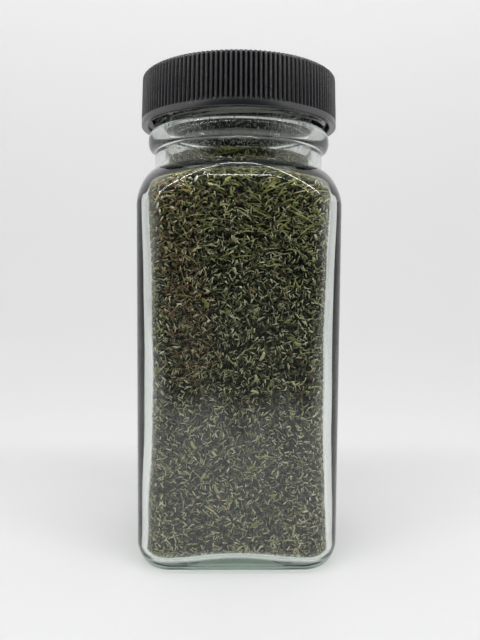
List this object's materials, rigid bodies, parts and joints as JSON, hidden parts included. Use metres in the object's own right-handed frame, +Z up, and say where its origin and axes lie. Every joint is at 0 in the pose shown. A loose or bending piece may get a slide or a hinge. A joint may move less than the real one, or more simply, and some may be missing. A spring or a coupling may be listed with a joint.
{
  "type": "jar of dried dill",
  "caption": "Square clear glass spice jar filled with chopped dried dill, with a round threaded neck and a ribbed black screw cap over a sealing disc.",
  "frame": {"origin": "centre of the base, on the surface the jar stands on", "axes": "+Z up along the jar's and cap's common axis; +X and +Y square to two flat sides of the body, with the front facing -Y"},
  "size_m": [0.046, 0.046, 0.111],
  "materials": {
    "jar_glass": "clear soda-lime glass with a faint green cast at its thick edges, polished",
    "dried_dill": null,
    "screw_cap": "moulded black polypropylene, satin",
    "cap_liner": "white polyethylene foam, matte"
  },
  "bodies": {
    "jar": {"jar_glass": "jar_glass", "dried_dill": "dried_dill"},
    "liner": {"cap_liner": "cap_liner"},
    "cap": {"screw_cap": "screw_cap"}
  },
  "joints": [
    {"name": "cap_rise", "type": "slide", "parent": "jar", "child": "liner", "axis": [0, 0, 1], "range_m": [0, 0.0034]},
    {"name": "cap_turn", "type": "hinge", "parent": "liner", "child": "cap", "pos_m": [0, 0, 0.0994], "axis": [0, 0, 1], "range_deg": [0, 288]}
  ],
  "couplings": [
    {"joint": "cap_rise", "follows": "cap_turn", "m_per_rad": 0.00067323}
  ]
}
